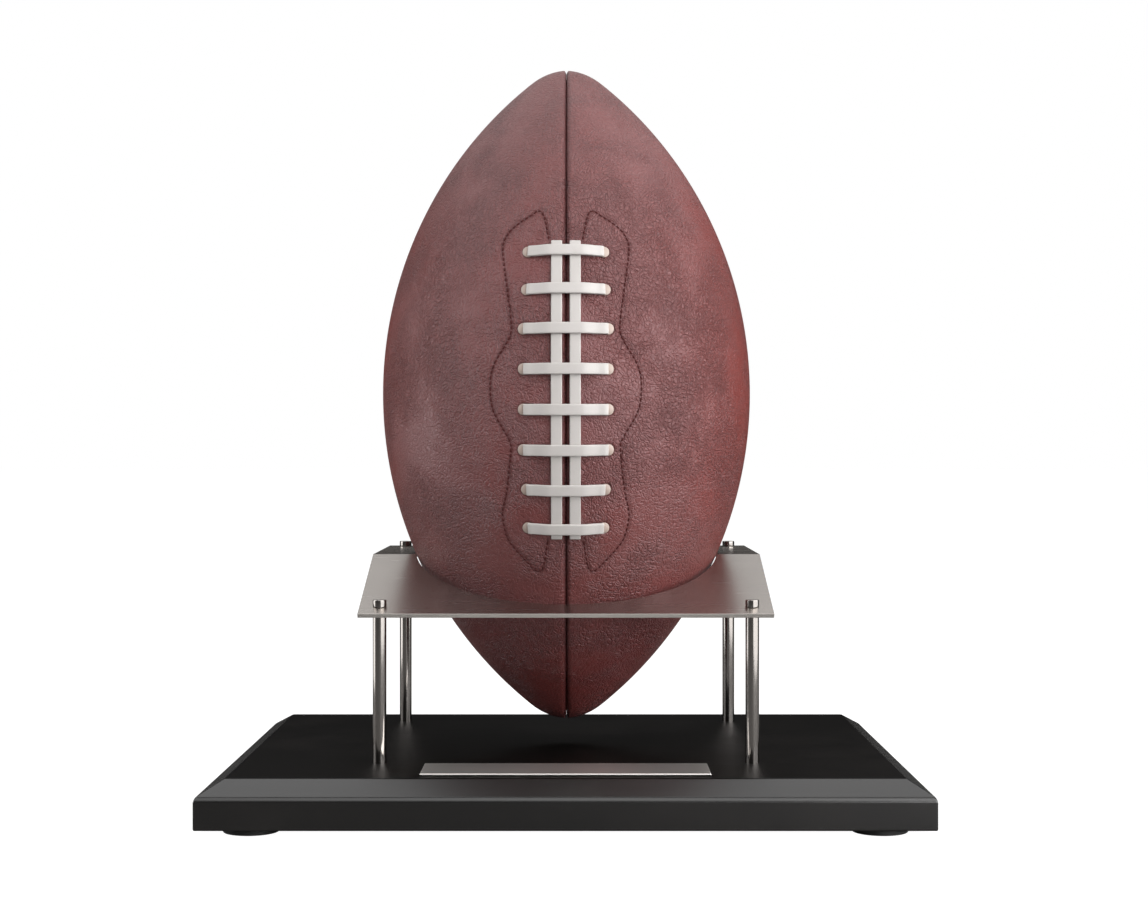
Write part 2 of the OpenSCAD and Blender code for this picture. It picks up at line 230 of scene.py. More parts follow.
def slice_at(piece: bpy.types.Object, point: Vector, away: Vector, clear: bool = False) -> None:
    """Cuts a piece along a plane.

    Args:
        piece: The object to cut.
        point: A point on the plane.
        away: The plane's normal.
        clear: Whether what lies on that side goes, and the cut is closed.
    """
    activate(piece)
    bpy.ops.object.mode_set(mode="EDIT")
    bpy.ops.mesh.select_all(action="SELECT")
    bpy.ops.mesh.bisect(plane_co=point, plane_no=away, use_fill=clear, clear_outer=clear)
    bpy.ops.object.mode_set(mode="OBJECT")


def select_where(piece: bpy.types.Object, test: Callable[[Vector], bool]) -> None:
    """Selects a mesh's vertices by place, and the edges and faces that they make, in edit mode.

    Args:
        piece: The mesh object, which is left in edit mode.
        test: Says whether a vertex is chosen, from its place.
    """
    activate(piece)
    bpy.ops.object.mode_set(mode="EDIT")
    mesh = bmesh.from_edit_mesh(piece.data)
    for part in (*mesh.faces, *mesh.edges, *mesh.verts):
        part.select = False
    for vertex in mesh.verts:
        vertex.select = test(vertex.co)
    mesh.select_flush(True)
    bmesh.update_edit_mesh(piece.data)


def add_sheet(name: str, columns: int, rows: int,
              place: Callable[[np.ndarray, np.ndarray], np.ndarray]) -> bpy.types.Object:
    """Adds a grid and lays its vertices on a surface.

    Args:
        name: The piece's name.
        columns: Faces across the grid.
        rows: Faces up the grid.
        place: Gives the places of vertices, from their shares (0 to 1) across and up the grid.

    Returns:
        The laid sheet. Its faces point the way that across x up points.
    """
    deselect_all()
    bpy.ops.mesh.primitive_grid_add(x_subdivisions=columns, y_subdivisions=rows, size=1)
    piece = named(name)
    flat = np.zeros(len(piece.data.vertices) * 3)
    piece.data.vertices.foreach_get("co", flat)
    flat = flat.reshape(-1, 3)
    spans = flat.max(0) - flat.min(0)
    shares = (flat - flat.min(0))[:, :2] / spans[:2]
    piece.data.vertices.foreach_set("co", place(shares[:, 0], shares[:, 1]).ravel())
    piece.data.update()
    return piece


def dress(piece: bpy.types.Object, material: bpy.types.Material) -> None:
    """Gives a piece one material."""
    piece.data.materials.clear()
    piece.data.materials.append(material)


def hand_over(piece: bpy.types.Object, body: str, slot: str, *nodes: str) -> None:
    """Puts a finished piece on its body, in place of CAD nodes, and reports it.

    Args:
        piece: The finished piece.
        body: The CAD body that it moves with.
        slot: The record's material slot; not used.
        *nodes: The CAD nodes that it stands for.
    """
    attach(piece, body)
    if nodes:
        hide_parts(*nodes)
    log.info("%s: %d faces on %s", piece.name, len(piece.data.polygons), body)


# ---------------------------------------------------------------- shader expressions


Input = Union["Signal", float, int, Sequence[float], bpy.types.NodeSocket]


class Signal:
    """A node's output that takes part in arithmetic, each step of which adds a Math node."""

    def __init__(self, sheet: "NodeSheet", socket: bpy.types.NodeSocket) -> None:
        """Wraps a socket of a sheet's node tree."""
        self.sheet = sheet
        self.socket = socket

    def math(self, operation: str, first: Input, second: Input = 0.0,
             clamp: bool = False) -> "Signal":
        """Adds one Math node.

        Args:
            operation: The node's operation.
            first: Its first input.
            second: Its second input.
            clamp: Whether the result is kept between 0 and 1.

        Returns:
            The result.
        """
        node = self.sheet.node("Math", {"operation": operation, "use_clamp": clamp},
                               {0: first, 1: second})
        return Signal(self.sheet, node.outputs[0])

    def __add__(self, other: Input) -> "Signal":
        """Sum."""
        return self.math("ADD", self, other)

    __radd__ = __add__

    def __sub__(self, other: Input) -> "Signal":
        """Difference."""
        return self.math("SUBTRACT", self, other)

    def __rsub__(self, other: Input) -> "Signal":
        """Difference, reflected."""
        return self.math("SUBTRACT", other, self)

    def __mul__(self, other: Input) -> "Signal":
        """Product."""
        return self.math("MULTIPLY", self, other)

    __rmul__ = __mul__

    def magnitude(self) -> "Signal":
        """The same, without its sign."""
        return self.math("ABSOLUTE", self)

    def clamped(self) -> "Signal":
        """The same, kept between 0 and 1."""
        return self.math("ADD", self, 0.0, clamp=True)

    def between(self, low: float, high: float) -> "Signal":
        """Rises smoothly from 0 at one value to 1 at another.

        Args:
            low: The value that gives 0.
            high: The value that gives 1.

        Returns:
            The smooth step.
        """
        node = self.sheet.node("MapRange", {"interpolation_type": "SMOOTHSTEP"},
                               {"Value": self, "From Min": low, "From Max": high})
        return Signal(self.sheet, node.outputs[0])


class NodeSheet:
    """The node tree of a material or of the world."""

    def __init__(self, owner: Union[bpy.types.Material, bpy.types.World]) -> None:
        """Empties the owner's node tree."""
        owner.use_nodes = True
        self.owner = owner
        self.tree = owner.node_tree
        self.tree.nodes.clear()

    def node(self, kind: str, settings: Optional[Mapping[str, object]] = None,
             sockets: Optional[Mapping[Union[int, str], Input]] = None) -> bpy.types.Node:
        """Adds a node.

        Args:
            kind: The node's type without its ShaderNode prefix.
            settings: Its properties, set first.
            sockets: Values or links for its inputs, by name or number.

        Returns:
            The new node.
        """
        node = self.tree.nodes.new("ShaderNode" + kind)
        for key, value in (settings or {}).items():
            setattr(node, key, value)
        for key, value in (sockets or {}).items():
            self.feed(node.inputs[key], value)
        return node

    def feed(self, socket: bpy.types.NodeSocket, value: Input) -> None:
        """Links or sets one input.

        Args:
            socket: The input.
            value: A signal or socket to link, or a value to set.
        """
        if isinstance(value, Signal):
            value = value.socket
        if isinstance(value, bpy.types.NodeSocket):
            self.tree.links.new(value, socket)
        elif socket.type == "RGBA" and len(value) == 3:
            socket.default_value = (*value, 1.0)
        else:
            socket.default_value = value

    def place(self, scale: Sequence[float] = (1, 1, 1)) -> bpy.types.NodeSocket:
        """Object coordinates, scaled.

        Args:
            scale: Scale along each axis.

        Returns:
            The vector output.
        """
        coordinates = self.node("TexCoord")
        mapping = self.node("Mapping", {}, {"Vector": coordinates.outputs["Object"],
                                            "Scale": scale})
        return mapping.outputs["Vector"]

    def along(self, axis: str, vector: bpy.types.NodeSocket) -> Signal:
        """One part of a vector, by the letter of its axis."""
        return Signal(self, self.node("SeparateXYZ", {}, {"Vector": vector}).outputs[axis])

    def noise(self, vector: bpy.types.NodeSocket, scale: float, detail: float = 2.0,
              roughness: float = 0.5) -> Signal:
        """Smooth noise around 0.5.

        Args:
            vector: The coordinates.
            scale: Cycles per metre.
            detail: Octaves.
            roughness: How much the fine octaves count.

        Returns:
            The noise.
        """
        node = self.node("TexNoise", {}, {"Vector": vector, "Scale": scale, "Detail": detail,
                                          "Roughness": roughness})
        return Signal(self, node.outputs[0])

    def cells(self, vector: bpy.types.NodeSocket, scale: float,
              feature: str = "DISTANCE_TO_EDGE") -> Signal:
        """Voronoi cells.

        Args:
            vector: The coordinates.
            scale: Cells per metre.
            feature: Which measure of the cells is given.

        Returns:
            The distance measure.
        """
        node = self.node("TexVoronoi", {"feature": feature}, {"Vector": vector, "Scale": scale})
        return Signal(self, node.outputs["Distance"])

    def warped(self, vector: bpy.types.NodeSocket, scale: float,
               amount: float) -> bpy.types.NodeSocket:
        """Coordinates pushed about by noise.

        Args:
            vector: The coordinates.
            scale: Cycles per metre of the push.
            amount: The push, in metres.

        Returns:
            The warped coordinates.
        """
        push = self.node("TexNoise", {}, {"Vector": vector, "Scale": scale, "Detail": 1.0})
        centred = self.node("VectorMath", {"operation": "SUBTRACT"},
                            {0: push.outputs["Color"], 1: (0.5, 0.5, 0.5)})
        scaled = self.node("VectorMath", {"operation": "SCALE"},
                           {0: centred.outputs[0], "Scale": amount * 2})
        added = self.node("VectorMath", {"operation": "ADD"}, {0: vector, 1: scaled.outputs[0]})
        return added.outputs[0]

    def mix(self, share: Input, first: Input, second: Input) -> bpy.types.NodeSocket:
        """Blends two colours.

        Args:
            share: How much of the second, 0 to 1.
            first: The first colour.
            second: The second colour.

        Returns:
            The blended colour.
        """
        node = self.node("Mix", {"data_type": "RGBA"}, {0: share, 6: first, 7: second})
        return node.outputs[2]

    def attribute(self, name: str) -> Signal:
        """A number stored on the mesh's vertices."""
        node = self.node("Attribute", {"attribute_name": name})
        return Signal(self, node.outputs["Fac"])

    def bump(self, height: Signal, distance: float, strength: float) -> bpy.types.NodeSocket:
        """Turns a height into a normal.

        Args:
            height: The height, 0 to 1.
            distance: What a height of 1 is in metres.
            strength: How much the bump counts.

        Returns:
            The normal output.
        """
        node = self.node("Bump", {}, {"Height": height, "Distance": distance,
                                      "Strength": strength})
        return node.outputs["Normal"]

    def surface(self, **sockets: Input) -> bpy.types.Material:
        """Closes the sheet with a Principled shader.

        Args:
            **sockets: Values or links for its inputs, with underscores for spaces.

        Returns:
            The finished material.
        """
        inputs = {key.replace("_", " "): value for key, value in sockets.items()}
        shader = self.node("BsdfPrincipled", {}, inputs)
        self.node("OutputMaterial", {}, {"Surface": shader.outputs[0]})
        return self.owner


def material_sheet(name: str) -> NodeSheet:
    """A sheet for a new material.

    Args:
        name: The material's name.

    Returns:
        Its empty sheet.
    """
    return NodeSheet(bpy.data.materials.new(name))


# ---------------------------------------------------------------- finishes


@dataclass(frozen=True)
class SatinPaint:
    """Black paint on a board, satin at its edges and dull on its top, with faint dust and marks."""

    top_height: float = 22 * MM
    colour: Colour = (0.0022, 0.0018, 0.0016)
    dust: Colour = (0.012, 0.010, 0.009)

    def build(self) -> bpy.types.Material:
        """Makes the material."""
        sheet = material_sheet("satin_black_paint")
        place = sheet.place()
        clouds = sheet.noise(place, 22.0, 4.0, 0.6).between(0.42, 0.75)
        specks = 1.0 - sheet.cells(place, 260.0, "F1").between(0.03, 0.16)
        rare = sheet.noise(place, 60.0, 1.0).between(0.58, 0.66)
        marks = (clouds * 0.30 + specks * rare * 0.5).clamped()
        peel = sheet.noise(place, 900.0, 2.0) + specks * rare * 0.4
        top = sheet.along("Z", place).between(self.top_height - 0.35 * MM,
                                              self.top_height - 0.05 * MM)
        return sheet.surface(Base_Color=sheet.mix(marks, self.colour, self.dust),
                             Roughness=0.45 + clouds * 0.05,
                             Specular_IOR_Level=0.06,
                             Coat_Weight=1.0 - top,
                             Coat_Roughness=0.27,
                             Coat_IOR=1.6,
                             Normal=sheet.bump(peel, 0.05 * MM, 0.35))


@dataclass(frozen=True)
class BrushedSteel:
    """Satin steel with a fine brushed grain across the stand."""

    name: str = "brushed_steel"
    colour: Colour = (0.54, 0.50, 0.465)
    roughness: float = 0.27
    stretch: float = 0.02

    def build(self) -> bpy.types.Material:
        """Makes the material."""
        sheet = material_sheet(self.name)
        grain_place = sheet.place((self.stretch, 1, 1))
        grain = sheet.noise(grain_place, 5200.0, 2.0, 0.6)
        streaks = sheet.noise(grain_place, 900.0, 3.0, 0.55)
        clouds = sheet.noise(sheet.place(), 30.0, 3.0).between(0.35, 0.75)
        tone = (streaks.between(0.3, 0.7) * 0.3 + clouds * 0.7).clamped()
        darker = tuple(channel * 0.92 for channel in self.colour)
        return sheet.surface(Base_Color=sheet.mix(tone, darker, self.colour),
                             Metallic=1.0,
                             Roughness=self.roughness - 0.01 + streaks * 0.02,
                             Normal=sheet.bump(grain, 0.008 * MM, 0.4))


@dataclass(frozen=True)
class PolishedSteel:
    """Drawn and polished steel rod, with faint scratches along it."""

    colour: Colour = (0.30, 0.28, 0.265)

    def build(self) -> bpy.types.Material:
        """Makes the material."""
        sheet = material_sheet("polished_steel")
        along = sheet.noise(sheet.place((1, 1, 0.02)), 3200.0, 2.0)
        spots = sheet.noise(sheet.place(), 700.0, 3.0, 0.6).between(0.55, 0.78)
        return sheet.surface(Base_Color=sheet.mix(spots * 0.5, self.colour, (0.22, 0.21, 0.20)),
                             Metallic=1.0,
                             Roughness=0.10 + spots * 0.08,
                             Normal=sheet.bump(along + spots * 0.5, 0.006 * MM, 0.4))


@dataclass(frozen=True)
class Rubber:
    """Matte black rubber."""

    name: str = "foot_rubber"
    colour: Colour = (0.014, 0.014, 0.014)

    def build(self) -> bpy.types.Material:
        """Makes the material."""
        sheet = material_sheet(self.name)
        fine = sheet.noise(sheet.place(), 1800.0, 3.0)
        bloom = sheet.noise(sheet.place(), 140.0, 3.0).between(0.45, 0.8)
        return sheet.surface(Base_Color=sheet.mix(bloom * 0.5, self.colour, (0.05, 0.05, 0.05)),
                             Roughness=0.62 + bloom * 0.15,
                             Normal=sheet.bump(fine, 0.05 * MM, 0.4))


@dataclass(frozen=True)
class BallLeather:
    """Pebbled and creased, reddish-brown ball leather, with painted shade in its creases, grooves
    and holes and a painted redder tint on its left and right sides.
    """

    # dark colour for random blotches, and for painted shade in creases, grooves and holes
    blotch_and_shade_colour: Colour = (0.055, 0.009, 0.008)
    warm: Colour = (0.128, 0.028, 0.025)
    pale: Colour = (0.128, 0.037, 0.035)
    # redder colour painted onto the ball's left and right sides, in place of the sheen falling off
    # there
    painted_flank_red: Colour = (0.140, 0.018, 0.012)
    pebble_size: float = 1.7 * MM
    fold_size: float = 2.9 * MM
    painted_flank_reach: tuple[float, float] = (40 * MM, 84 * MM)

    def build(self) -> bpy.types.Material:
        """Makes the material."""
        sheet = material_sheet("ball_leather")
        place = sheet.place()
        bent = sheet.warped(place, 130.0, 2.2 * MM)
        pebbles = sheet.cells(bent, 1 / self.pebble_size).between(0.0, 0.20)
        crumpled = sheet.warped(place, 420.0, 0.6 * MM)
        fine = sheet.cells(crumpled, 2.5 / self.pebble_size).between(0.0, 0.25)
        lines = sheet.noise(bent, 1 / self.fold_size, 1.5, 0.5) - 0.5
        folds = lines.magnitude().between(0.0, 0.055)
        depth = sheet.noise(place, 30.0, 2.0).between(0.32, 0.62) * 0.7 + 0.3
        grain = (pebbles * 0.45 + folds * 0.40 + fine * 0.18) * depth
        tone = sheet.noise(place, 20.0, 4.0, 0.6).between(0.30, 0.70)
        blotch = sheet.noise(place, 60.0, 3.0, 0.6).between(0.45, 0.75)
        # painted light: the leather turns redder towards its left and right sides (along X),
        # standing in for the weaker sheen there
        painted_flank = sheet.along("X", place).magnitude().between(*self.painted_flank_reach)
        base = sheet.mix(painted_flank * 0.75, sheet.mix(tone, self.warm, self.pale), self.painted_flank_red)
        base = sheet.mix(blotch * 0.25, base, self.blotch_and_shade_colour)
        # painted shade: darker in the grain's crevices and folds, and where the mesh's mask marks
        # seam grooves, stitch dents and lace holes
        painted_crease_shade = (2.0 - pebbles - folds) * depth * 0.25 + sheet.attribute("crease") * 0.8
        return sheet.surface(Base_Color=sheet.mix(painted_crease_shade.clamped(), base, self.blotch_and_shade_colour),
                             Roughness=0.43 + tone * 0.06 - pebbles * 0.07,
                             Specular_IOR_Level=0.62,
                             Specular_Tint=(1.0, 0.93, 0.97, 1.0),
                             Normal=sheet.bump(grain, 0.75 * MM, 0.9))


@dataclass(frozen=True)
class LaceVinyl:
    """White lace with a faint woven core under its smooth skin."""

    name: str = "lace_white"
    colour: Colour = (0.435, 0.41, 0.395)
    shade: Colour = (0.385, 0.36, 0.34)

    def build(self) -> bpy.types.Material:
        """Makes the material."""
        sheet = material_sheet(self.name)
        place = sheet.place()
        weave = sheet.cells(place, 1500.0, "F1")
        smudge = sheet.noise(place, 90.0, 3.0, 0.6).between(0.45, 0.80)
        return sheet.surface(Base_Color=sheet.mix(smudge * 0.55, self.colour, self.shade),
                             Roughness=0.44 + smudge * 0.12,
                             Normal=sheet.bump(weave, 0.06 * MM, 0.25))


@dataclass(frozen=True)
class Thread:
    """Waxed sewing thread."""

    colour: Colour = (0.045, 0.008, 0.008)

    def build(self) -> bpy.types.Material:
        """Makes the material."""
        sheet = material_sheet("dark_thread")
        ply = sheet.noise(sheet.place(), 4200.0, 2.0)
        return sheet.surface(Base_Color=sheet.mix(ply, self.colour, (0.065, 0.014, 0.013)),
                             Roughness=0.75,
                             Specular_IOR_Level=0.2,
                             Normal=sheet.bump(ply, 0.1 * MM, 0.5))


@dataclass(frozen=True)
class Plain:
    """A simple mottled finish for parts that are out of sight."""

    name: str
    colour: Colour
    roughness: float
    metallic: float = 0.0
    mottle: float = 400.0

    def build(self) -> bpy.types.Material:
        """Makes the material."""
        sheet = material_sheet(self.name)
        spots = sheet.noise(sheet.place(), self.mottle, 3.0, 0.6)
        darker = tuple(channel * 0.7 for channel in self.colour)
        return sheet.surface(Base_Color=sheet.mix(spots, self.colour, darker),
                             Metallic=self.metallic,
                             Roughness=self.roughness + spots * 0.1,
                             Normal=sheet.bump(spots, 0.1 * MM, 0.4))


def worn(finish: object) -> bpy.types.Material:
    """A wardrobe's entry, whose material is made when the wardrobe is.

    Args:
        finish: The finish to make it from.

    Returns:
        The dataclass field.
    """
    return field(default_factory=finish.build)


@dataclass
class Wardrobe:
    """Every material, made once."""

    paint: bpy.types.Material = worn(SatinPaint())
    cradle_steel: bpy.types.Material = worn(BrushedSteel())
    # lighter, rougher copy of the plate steel for its cut edges: rougher like a cut edge, and
    # lighter in colour as a painted highlight along the rim
    sheared_steel: bpy.types.Material = worn(BrushedSteel("sheared_steel", (0.82, 0.78, 0.74), 0.6))
    rod_steel: bpy.types.Material = worn(PolishedSteel())
    nameplate: bpy.types.Material = worn(BrushedSteel("nameplate_steel", (0.84, 0.81, 0.78), 0.36))
    rubber: bpy.types.Material = worn(Rubber())
    leather: bpy.types.Material = worn(BallLeather())
    lace: bpy.types.Material = worn(LaceVinyl())
    # darker, warmer copy of the white lace for its ends down in the holes: painted shade
    lace_end: bpy.types.Material = worn(
        LaceVinyl("lace_end", (0.36, 0.285, 0.245), (0.27, 0.21, 0.18)))
    thread: bpy.types.Material = worn(Thread())
    zinc: bpy.types.Material = worn(Plain("zinc_screw", (0.55, 0.55, 0.57), 0.28, 1.0))
    film: bpy.types.Material = worn(Plain("adhesive_film", (0.66, 0.65, 0.60), 0.5))
    cloth: bpy.types.Material = worn(Plain("lining_cloth", (0.55, 0.50, 0.41), 0.85, 0.0, 1200.0))
    hide: bpy.types.Material = worn(Plain("seam_leather", (0.07, 0.014, 0.012), 0.8, 0.0, 800.0))
    bladder: bpy.types.Material = worn(Rubber("bladder_rubber", (0.025, 0.025, 0.027)))


# ---------------------------------------------------------------- stand


@dataclass
class Base:
    """The bevelled board with its feet, screws and nameplate."""

    wardrobe: Wardrobe
    bevel_width: float = 11 * MM
    bevel_height: float = 6.4 * MM
    edge_rounding: float = 0.7 * MM
    shoulder_rounding: float = 1.6 * MM
    socket_radius: float = 2.9 * MM
    counterbore_radius: float = 4.6 * MM
    counterbore_depth: float = 6 * MM
    foot_recess_radius: float = 6 * MM
    foot_recess_depth: float = 1 * MM
    foot_rounding: float = 0.6 * MM
    nameplate_rounding: float = 0.4 * MM

    def build(self) -> None:
        """Builds the base's pieces."""
        self.board()
        for corner in CORNERS:
            self.foot(corner)
        self.nameplate()
        self.carried_over()

    def board(self) -> None:
        """The board: a box whose top is drawn up and in, drilled for the rods."""
        low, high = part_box("base_board")
        shoulder = Vector((high.x, high.y, high.z - self.bevel_height))
        board = add_box("board", low, shoulder)
        select_where(board, lambda place: place.z > shoulder.z - self.edge_rounding)
        bpy.ops.mesh.extrude_region_move(
            TRANSFORM_OT_translate={"value": (0, 0, self.bevel_height)})
        size = high - low
        shrink = (1 - 2 * self.bevel_width / size.x, 1 - 2 * self.bevel_width / size.y, 1)
        bpy.ops.transform.resize(value=shrink, center_override=(0, 0, high.z))
        bpy.ops.object.mode_set(mode="OBJECT")
        select_where(board, lambda place: abs(place.z - shoulder.z) < 0.1 * MM)
        bpy.ops.mesh.bevel(offset=self.shoulder_rounding, segments=6, affect="EDGES")
        bpy.ops.object.mode_set(mode="OBJECT")
        soften(board, self.edge_rounding, 4, 15)
        for corner in CORNERS:
            self.drill(board, corner, low.z, high.z)
        shade(board, 30)
        dress(board, self.wardrobe.paint)
        hand_over(board, STAND, "black_board", "base_board")

    def drill(self, board: bpy.types.Object, corner: str, bottom: float, top: float) -> None:
        """Drills one rod's socket and the counterbore of its screw.

        Args:
            board: The board.
            corner: Which rod.
            bottom: Height of the board's underside.
            top: Height of its top.
        """
        low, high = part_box("rod_" + corner)
        axis = (low + high) / 2
        foot = Vector((axis.x, axis.y, low.z))
        cut(board, add_rod("socket_cutter", foot, self.socket_radius, top - low.z + MM))
        start = Vector((axis.x, axis.y, bottom - MM))
        cut(board, add_rod("counterbore_cutter", start, self.counterbore_radius,
                           self.counterbore_depth + MM))

    def foot(self, corner: str) -> None:
        """One rubber foot, with the hollow in its underside.

        Args:
            corner: Which foot.
        """
        low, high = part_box("foot_" + corner)
        middle = (low + high) / 2
        radius = (high.x - low.x) / 2
        foot = add_rod("rubber_foot_" + corner, Vector((middle.x, middle.y, low.z)), radius,
                       high.z - low.z, 96)
        select_where(foot, lambda place: place.z < middle.z)
        bpy.ops.mesh.inset(thickness=radius - self.foot_recess_radius)
        bpy.ops.mesh.extrude_region_move(
            TRANSFORM_OT_translate={"value": (0, 0, self.foot_recess_depth)})
        bpy.ops.object.mode_set(mode="OBJECT")
        soften(foot, self.foot_rounding, 4)
        dress(foot, self.wardrobe.rubber)
        hand_over(foot, STAND, "foot_rubber", "foot_" + corner)

    def nameplate(self) -> None:
        """The blank plate near the front edge."""
        low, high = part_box("nameplate")
        plate = add_box("blank_nameplate", low, high)
        soften(plate, self.nameplate_rounding)
        dress(plate, self.wardrobe.nameplate)
        hand_over(plate, STAND, "nameplate_steel", "nameplate")

    def carried_over(self) -> None:
        """Dresses the CAD pieces that stay as they are."""
        for node in ("nameplate_adhesive", *("foot_adhesive_" + corner for corner in CORNERS)):
            dress(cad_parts[node], self.wardrobe.film)
        for node in ("rod_screws", "rod_washers"):
            dress(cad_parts[node], self.wardrobe.zinc)


@dataclass
class Cradle:
    """The folded plate on its four rods, with their caps."""

    wardrobe: Wardrobe
    sheet_thickness: float = 1.8 * MM
    fold_offset: float = 8 * MM
    fold_angle: float = 17.7
    hole_radius: float = 67.15 * MM
    bore_radius: float = 1.8 * MM
    edge_rounding: float = 0.45 * MM
    rod_rounding: float = 0.15 * MM
    cap_rounding: float = 0.35 * MM
    cap_blank_height: float = 7 * MM
    pin_radius: float = 1.5 * MM
    cutter_height: float = 10 * MM
    gap: float = 0.05 * MM
    axis_y: float = field(init=False)
    fold: Vector = field(init=False)

    def __post_init__(self) -> None:
        """Reads the places of the hole's middle and of the fold from the CAD."""
        ball_low, ball_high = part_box("bladder")
        self.axis_y = (ball_low.y + ball_high.y) / 2
        self.fold = Vector((0, self.axis_y - self.fold_offset,
                            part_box("cradle_plate")[1].z - self.sheet_thickness))

    def build(self) -> None:
        """Builds the cradle's pieces."""
        self.plate(*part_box("cradle_plate"))
        for corner in CORNERS:
            self.rod(corner)
            self.cap(corner)

    def slope_normal(self) -> Vector:
        """The upward normal of the sloping part."""
        angle = math.radians(self.fold_angle)
        return Vector((0, -math.sin(angle), math.cos(angle)))

    def plate(self, low: Vector, high: Vector) -> None:
        """The plate: a flat sheet that is cut, bored, then folded.

        Args:
            low: The folded plate's lowest corner.
            high: Its highest corner.
        """
        slope = math.radians(self.fold_angle)
        reach = (self.fold.y - low.y - self.sheet_thickness * math.sin(slope)) / math.cos(slope)
        flat_low = Vector((low.x, self.fold.y - reach, self.fold.z))
        plate = add_box("folded_cradle_plate", flat_low, high)
        below = self.fold.z - self.cutter_height / 2
        drop = Vector((0, self.axis_y, below))
        cut(plate, add_rod("hole_cutter", drop, self.hole_radius, self.cutter_height, 256))
        for corner in CORNERS:
            rod_low, rod_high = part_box("rod_" + corner)
            bore = (rod_low + rod_high) / 2
            along = bore.y - self.fold.y
            bore.y = self.fold.y + (along / math.cos(slope) if along < 0 else along)
            bore.z = below
            cut(plate, add_rod("bore_cutter", bore, self.bore_radius, self.cutter_height))
        slice_at(plate, self.fold, Vector((0, 1, 0)))
        select_where(plate, lambda place: place.y < self.fold.y - 0.01 * MM)
        bpy.ops.transform.rotate(value=-slope, orient_axis="X", center_override=self.fold)
        bpy.ops.object.mode_set(mode="OBJECT")
        soften(plate, self.edge_rounding, 3, 10)
        dress(plate, self.wardrobe.cradle_steel)
        # the rim faces get the lighter steel, a painted highlight along the plate's edges
        plate.data.materials.append(self.wardrobe.sheared_steel)
        for face in plate.data.polygons:
            if max(abs(face.normal.z), abs(face.normal.dot(self.slope_normal()))) < 0.6:
                face.material_index = 1
        hand_over(plate, STAND, "cradle_steel", "cradle_plate")

    def rod(self, corner: str) -> None:
        """One rod, cut to the plate's underside.

        Args:
            corner: Which rod.
        """
        low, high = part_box("rod_" + corner)
        middle = (low + high) / 2
        rod = add_rod("steel_rod_" + corner, Vector((middle.x, middle.y, low.z)),
                      (high.x - low.x) / 2, high.z - low.z)
        if middle.y < self.fold.y:
            normal = self.slope_normal()
            slice_at(rod, self.fold - self.gap * normal, normal, clear=True)
        soften(rod, self.rod_rounding, 2)
        dress(rod, self.wardrobe.rod_steel)
        hand_over(rod, STAND, "rod_steel", "rod_" + corner)

    def cap(self, corner: str) -> None:
        """One cap, with its pin through the plate.

        Args:
            corner: Which cap.
        """
        low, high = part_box("cap_" + corner)
        middle = (low + high) / 2
        radius = (high.x - low.x) / 2
        head = add_rod("cap_head", Vector((middle.x, middle.y, high.z - self.cap_blank_height)),
                       radius, self.cap_blank_height)
        front = middle.y < self.fold.y
        normal = self.slope_normal() if front else Vector((0, 0, 1))
        slice_at(head, self.fold + (self.sheet_thickness + self.gap) * normal, -normal, clear=True)
        soften(head, self.cap_rounding, 4)
        pin = add_rod("cap_pin", Vector((middle.x, middle.y, low.z)), self.pin_radius,
                      high.z - low.z - MM, 32)
        cap = join([head, pin], "rod_cap_" + corner)
        dress(cap, self.wardrobe.rod_steel)
        hand_over(cap, STAND, "rod_steel", "cap_" + corner)


# ---------------------------------------------------------------- football


